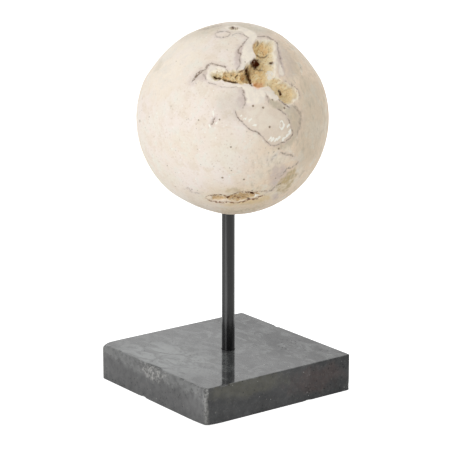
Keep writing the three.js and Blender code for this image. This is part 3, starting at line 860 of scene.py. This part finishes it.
def ball_places(ways):
    """Where each direction from the ball's centre meets its surface."""
    radius = np.full(len(ways), ball_radius)
    for right, up, depth in flats:
        facing = ways @ (face_right * right + face_up * up)
        radius -= depth * smooth(facing, flat_spread, 1)
    depth = hollow_depth(ways)
    surface = ways * ball_radius
    deep = np.flatnonzero(depth > sound)
    spots = surface[deep]
    crust = (0.50 * lattice_noise(spots, 3.6, 21) + 0.45 * np.abs(lattice_noise(spots, 2.0, 22))
             + 0.22 * lattice_noise(spots, 1.0, 23))
    depth[deep] += crust * smooth(depth[deep], 0.3, 3.0)
    radius -= depth
    radius += 0.10 * lattice_noise(surface, 17, 24) + 0.03 * lattice_noise(surface, 3.0, 25)
    radius -= pore_depth * np.sqrt(np.maximum(0, 1 - pore_fit(ways) ** 2)) * (depth < sound)
    points = ways * radius[:, None]
    # the floor of the deep chambers reaches in under the left rim
    under = undercut * np.maximum(depth - undercut_from, 0)
    points -= under[:, None] * face_right
    place, out = on_face(points)
    place = place + 0.25 * wander(surface, 2.5, 26)
    dig = np.zeros(len(ways))
    for (_, half, _, groove, _), path in zip(seams, seam_paths):
        if groove:
            near, away, along = to_path(place, path, 2 * half)
            taper = 0.35 + 0.65 * smooth(np.minimum(along, 1 - along), 0, 0.2)
            cut = groove * (1 - smooth(away / (half * taper), 0.2, 1.5))
            at_least(dig, near, cut * (out[near] > 0))
    return points - ways * dig[:, None]


def ball_limit(ways):
    """Longest edge wanted: short in the hollows and by every mark, long on plain stone."""
    place, out = on_face(ways * ball_radius)
    nearest = np.full(len(ways), 9.0)
    near = np.flatnonzero(out > front)
    inside, _ = inside_lobes(place[near])
    nearest[near] = np.clip(-inside.max(axis=0), 0, 9)
    for paths, margin, spare in ((seam_paths, 3, 0), (stain_edges, 2, 1)):
        for path in paths:
            near, away, _ = to_path(place, path, margin)
            nearest[near] = np.minimum(nearest[near], np.where(out[near] > 0, away + spare, 9))
    nearest = np.minimum(nearest, 0.6 * np.maximum(pore_fit(ways) - 1, 0))
    return np.clip(0.6 + 0.45 * (nearest - 0.6), 0.6, 1.8)


def geodesic(steps):
    """Directions and triangles of a round made by dividing an icosahedron's faces."""
    golden = (1 + math.sqrt(5)) / 2
    corners = np.array([(s, t * golden, 0) for s in (-1, 1) for t in (-1, 1)])
    corners = np.vstack([corners, corners[:, [2, 0, 1]], corners[:, [1, 2, 0]]])
    index, found, triangles = {}, [], []

    def vertex(point):
        point = point / np.linalg.norm(point)
        key = tuple(np.round(point, 7))
        if key not in index:
            index[key] = len(found)
            found.append(point)
        return index[key]

    for i in range(12):
        for j in range(i + 1, 12):
            for k in range(j + 1, 12):
                a, b, c = corners[i], corners[j], corners[k]
                sides = (np.linalg.norm(a - b), np.linalg.norm(b - c), np.linalg.norm(c - a))
                if max(sides) > 2.1:
                    continue
                if np.cross(b - a, c - a) @ a < 0:
                    b, c = c, b
                rows = [[vertex(a + (b - a) * (u / steps) + (c - a) * (v / steps))
                         for v in range(steps + 1 - u)] for u in range(steps + 1)]
                for u in range(steps):
                    for v in range(steps - u):
                        triangles.append((rows[u][v], rows[u + 1][v], rows[u][v + 1]))
                        if v < steps - u - 1:
                            triangles.append((rows[u + 1][v], rows[u + 1][v + 1], rows[u][v + 1]))
    return np.array(found), np.array(triangles)


def halfway(a, b):
    """The direction halfway between each two."""
    middle = a + b
    return middle / lengths(middle)[:, None]


def ball_layers(points):
    """How strongly each mark colours the stone at each point, 0 to 1."""
    layers = {name: np.zeros(len(points)) for name in layer_names}
    place, out = on_face(points)
    ragged, fine = wander(points, 2.2, 31), wander(points, 0.9, 33)
    broken = 0.75 + 0.5 * lattice_noise(points, 2.6, 35)
    for (layer, strength, soft, _), edge in zip(stains, stain_edges):
        spot = place + 0.5 * ragged * min(soft, 2.0) + 0.3 * fine
        near, away, _ = to_path(spot, edge, soft)
        signed = np.where(enclosed(spot[near], edge), away, -away)
        cover = strength * smooth(signed, -soft / 2, soft / 2) * smooth(out[near], *stain_fade)
        at_least(layers[layer], near, cover)
    for (layer, half, strength, _, _), path in zip(seams, seam_paths):
        near, away, along = to_path(place + 0.40 * ragged + 0.25 * fine, path, 5 * half)
        taper = 0.4 + 0.6 * smooth(np.minimum(along, 1 - along), 0, 0.2)
        width = half * taper * broken[near]
        cover = strength * (1 - smooth(away / np.maximum(width, 0.05), 0.5, 1.7)) * (out[near] > 0)
        at_least(layers[layer], near, cover)
        if layer == "vein":
            halo = 0.45 * strength * (1 - smooth(away / (5 * half), 0.1, 1)) * (out[near] > 0)
            at_least(layers["lilac"], near, halo)
    return layers


ways, triangles = geodesic(ball_steps)
ways, points, triangles = refine(
    ways, triangles, ball_places, halfway, ball_limit, finest_ball_edge / ball_radius)
layers = ball_layers(points)
layers["pore"] = smooth(pore_fit(ways), 1.15, 0.7)
layers["hollow"] = hollow_depth(ways)
layers["back"] = smooth(-ways @ face_out, -0.15, 0.25)
ball = piece_from("pale_ball", points + ball_centre, triangles, layers)
drill(ball, rod_axis, ball_low[2] - drill_start, rod_high[2] + seat_gap, rod_radius + seat_gap)

s = Shader("pale_stone")
broad = s.noise(26, detail=3, roughness=0.5, distortion=0.6)
middling = s.noise(7, detail=4, roughness=0.6, distortion=0.4, shift=(0.2, 0, 0))
small = s.noise(1.3, detail=3, roughness=0.65, shift=(0, 0.4, 0))
streaks = s.noise(2.2, detail=4, roughness=0.6, shift=(0.3, 0.3, 0), stretch=(1, 1, 0.45))
patchy = s.broken("beige", s.noise(11, shift=(0.8, 0.2, 0)), 0.40, 0.62, 0.35, 1)
fleck = s.specks(3.1, (0.10, 0.17), 0.75)
peck = s.specks(3.7, (0.07, 0.12), 0.6, shift=(0.4, 0, 0.1))
ground = s.over(
    s.mix(s.step(broad, 0.38, 0.62), (243, 230, 214), (246, 234, 224)),
    # the beige layer: the stone's own beige on the right, and painted shade there
    (s.layer("beige"), (241, 220, 194)),
    (s.step(s.noise(15, shift=(0.5, 0.1, 0.2)), 0.45, 0.7, 0, 0.5), (242, 237, 222)),
    (s.step(middling, 0.48, 0.68, 0, 0.45), (232, 216, 194)),
    (s.step(middling, 0.46, 0.34, 0, 0.45), (238, 236, 224)),
    (s.step(small, 0.56, 0.72, 0, 0.5), (252, 246, 234)),
    (s.step(small, 0.44, 0.28, 0, 0.6), (212, 192, 172)),
    (s.times(patchy, s.step(streaks, 0.48, 0.68, 0, 0.55)), (196, 182, 158)),
    (s.times(patchy, s.step(streaks, 0.46, 0.30, 0, 0.4)), (255, 240, 216)),
    (s.times(fleck, s.step(s.noise(5, shift=(0, 0, 0.7)), 0.45, 0.6)), (255, 253, 246)),
    (s.times(peck, s.step(s.noise(6, shift=(0.3, 0, 0.7)), 0.5, 0.6)), (150, 138, 124)))

# stains are thinner where the stone's own texture breaks them up
ragged = s.step(s.noise(2.4, detail=4, roughness=0.65, shift=(0.1, 0.6, 0)), 0.3, 0.6)
thinned = s.plus(s.times(ragged, 0.35), 0.65)


def layer_cover(layer, strength=1.0):
    """How strongly a layer covers the stone: most layers are stains, some are painted shading."""
    return s.times(s.layer(layer), s.times(thinned, strength), clamp=True)


# the far side is plainer: a few faint lilac seams and a beige cloud
thread = s.noise(30, detail=3, roughness=0.5, distortion=0.4, shift=(0.9, 0, 0.2))
thread = s.step(s.math("ABSOLUTE", s.plus(thread, -0.5)), 0.002, 0.012, 0.8, 0)
thread = s.times(thread, s.step(s.noise(16, shift=(0.2, 0.9, 0)), 0.48, 0.58))
cloudy = s.broken("back", s.noise(34, detail=3, shift=(0.6, 0.6, 0.1)), 0.5, 0.64, 0, 0.6)

# the hollow's lining: crust and clots, darker with depth, and tan stone
hollow = s.layer("hollow")
crumb = s.noise(1.1, detail=4, roughness=0.7, shift=(0.3, 0.3, 0))
clot = s.noise(4, detail=3, roughness=0.6, shift=(0, 0.2, 0.5))
clotted = s.step(clot, 0.4, 0.6)
deep = s.plus(hollow, s.times(s.plus(clot, -0.5), 5))
tan_stone = s.mix(s.step(hollow, 1.4, 3), s.mix(clotted, (214, 180, 128), (200, 164, 112)),
                  s.mix(clotted, (255, 234, 184), (255, 218, 158)))
crust = s.over(
    s.mix(s.step(deep, 0.6, 3.4), (255, 246, 226), (255, 238, 198)),
    (s.step(deep, 4, 7.5), (255, 230, 178)),
    (s.step(deep, 10, 14), (228, 170, 104)),
    (s.layer("tan"), tan_stone),
    (s.step(crumb, 0.54, 0.68, 0, 0.9), (255, 249, 228)),
    (s.step(crumb, 0.43, 0.33, 0, 0.8), s.mix(s.layer("tan"), (198, 142, 86), (160, 102, 50))))

striped = s.broken("olive", streaks, 0.36, 0.6, 0.35, 1)
speckled = s.step(s.plus(crumb, s.times(s.layer("white"), 0.45)), 0.62, 0.80)
stipple = (s.noise(1.1, detail=2, roughness=0.6, shift=(0.6, 0, 0.2)), 0.38, 0.58, 0.15, 1.1)
colour = s.over(
    ground,
    # grey-brown stains, and painted shade on the top and right of the ball
    (layer_cover("shade"), (196, 184, 160)),
    (layer_cover("patch", 0.9), s.mix(s.step(middling, 0.4, 0.6), (240, 228, 210), (230, 215, 197))),
    # ochre stains, and the painted shadow under the lower scar
    (layer_cover("ochre"), (232, 204, 150)),
    (layer_cover("lilac"), (205, 187, 180)),
    (layer_cover("pale", 1.1), s.mix(s.step(middling, 0.35, 0.6), (240, 230, 216), (255, 245, 228))),
    (s.times(s.times(s.layer("back"), thread), ragged), (158, 142, 132)),
    (cloudy, (216, 200, 172)),
    (s.step(hollow, 0.15, 0.9), crust),
    (layer_cover("rust"), (240, 168, 118)),
    # olive stains, and painted shade with a painted reflection of the base along the bottom
    (striped, s.mix(s.step(middling, 0.42, 0.58), (198, 174, 126), (184, 168, 130))),
    (s.times(speckled, s.step(s.layer("white"), 0, 0.4)), (255, 251, 240)),
    (s.broken("vein", *stipple), (128, 108, 90)),
    (s.broken("rim", *stipple), (132, 86, 48)),
    # dark brown in the cracks and the cave: painted shade with some grime
    (layer_cover("dirt", 1.2), (74, 30, 3)),
    (s.layer("pore"), (146, 124, 100)))

chalk = s.bump(small, 0.05)
chalk = s.bump(s.times(crumb, s.step(hollow, 0.3, 2)), 0.9, chalk)
ball.data.materials.clear()
ball.data.materials.append(s.finish(
    Base_Color=colour, Roughness=s.step(middling, 0.3, 0.7, 0.52, 0.68), Normal=chalk, IOR=1.45,
    Specular_IOR_Level=s.step(s.layer("dirt"), 0.1, 0.7, 0.5, 0.05)))

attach(ball, "root")
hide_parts("stone_ball")

# ---------------------------------------------------------------------------
# The studio: a plain pale floor that glows a little, soft light from the left,
# a strip that shows only in the polish, and a long lens. The room is darker
# behind the camera.
# ---------------------------------------------------------------------------

reach = 6.0
floor_mesh = bpy.data.meshes.new("floor")
floor_mesh.from_pydata(
    [(x, y, 0) for x, y in ((-reach, -reach), (reach, -reach), (reach, reach), (-reach, reach))],
    [], [(0, 1, 2, 3)])
floor = new_object("floor", floor_mesh)
s = Shader("white_sweep")
rays = s.add("ShaderNodeLightPath").outputs
# polished things also see a brighter pool, in front of the base and to its left
spread = s.add("ShaderNodeMapping", {"Vector": s.moved((0.29, 0.04, 0)), "Scale": (4.2, 9.0, 1.0)})
away = s.add("ShaderNodeVectorMath", {0: spread.outputs[0]}, operation="LENGTH").outputs["Value"]
mirrored = s.plus(s.step(away, 0.75, 1.0, 1.9, 0.0), 0.35)
glow = s.plus(s.times(rays["Is Camera Ray"], 0.8), s.times(rays["Is Glossy Ray"], mirrored))
floor_mesh.materials.append(s.finish(
    Base_Color=tone(248, 248, 248), Roughness=0.9, Emission_Color=(1, 1, 1, 1), Emission_Strength=glow))

view_degrees = -36.75
view_azimuth, view_elevation = math.radians(view_degrees), math.radians(14.54)
view_distance, aim_height = 1.237, 0.0765
lens_mm, sensor_mm = 160.0, 36.0
turn = Euler((math.pi / 2 - view_elevation, 0, view_azimuth))
back = turn.to_matrix() @ Vector((0, 0, 1))
upward = turn.to_matrix() @ Vector((0, 1, 0))
camera = new_object("camera", bpy.data.cameras.new("camera"))
camera.data.lens, camera.data.sensor_width = lens_mm, sensor_mm
camera.location = Vector((0, 0, slab_top * MM)) + upward * aim_height + back * view_distance
camera.rotation_euler = turn
bpy.context.scene.camera = camera

light_distance, light_aim = 1.5, Vector((0, 0, 0.12))


def soft_light(name, azimuth, elevation, width, height, power):
    """A rectangular lamp turned to the object, at angles in degrees from the front."""
    lamp = bpy.data.lights.new(name, "AREA")
    lamp.shape, lamp.size, lamp.size_y, lamp.energy = "RECTANGLE", width, height, power
    light = new_object(name, lamp)
    a, e = math.radians(azimuth), math.radians(elevation)
    way = Vector((math.sin(a) * math.cos(e), -math.cos(a) * math.cos(e), math.sin(e)))
    light.location = light_aim + way * light_distance
    light.rotation_euler = way.to_track_quat("Z", "Y").to_euler()
    return light


key = soft_light("key", view_degrees - 42, 22, 1.0, 1.0, 5.4)
key.visible_glossy = False
strip = soft_light("strip", view_degrees - 46, 14.5, 0.8, 0.5, 6.0)
strip.visible_diffuse = False

world = bpy.data.worlds.new("studio")
world.use_nodes = True
bpy.context.scene.world = world
tree = world.node_tree
around = add_node(tree, "ShaderNodeTexCoord").outputs["Generated"]
ahead = (math.sin(view_azimuth), -math.cos(view_azimuth), 0)
heading = add_node(tree, "ShaderNodeVectorMath", {0: around, 1: ahead}, operation="DOT_PRODUCT")
room = add_node(tree, "ShaderNodeMapRange", {
    "Value": heading.outputs["Value"], "From Min": 0.1, "From Max": 0.6, "To Min": 1.25, "To Max": 0.35,
}, interpolation_type="SMOOTHSTEP")
level = add_node(tree, "ShaderNodeMapRange", {
    "Value": add_node(tree, "ShaderNodeLightPath").outputs["Is Diffuse Ray"],
    "To Min": room.outputs["Result"], "To Max": 0.70})
feed(tree, tree.nodes["Background"], {"Color": (1, 1, 1, 1), "Strength": level.outputs["Result"]})

bpy.context.scene.view_settings.view_transform = "Standard"
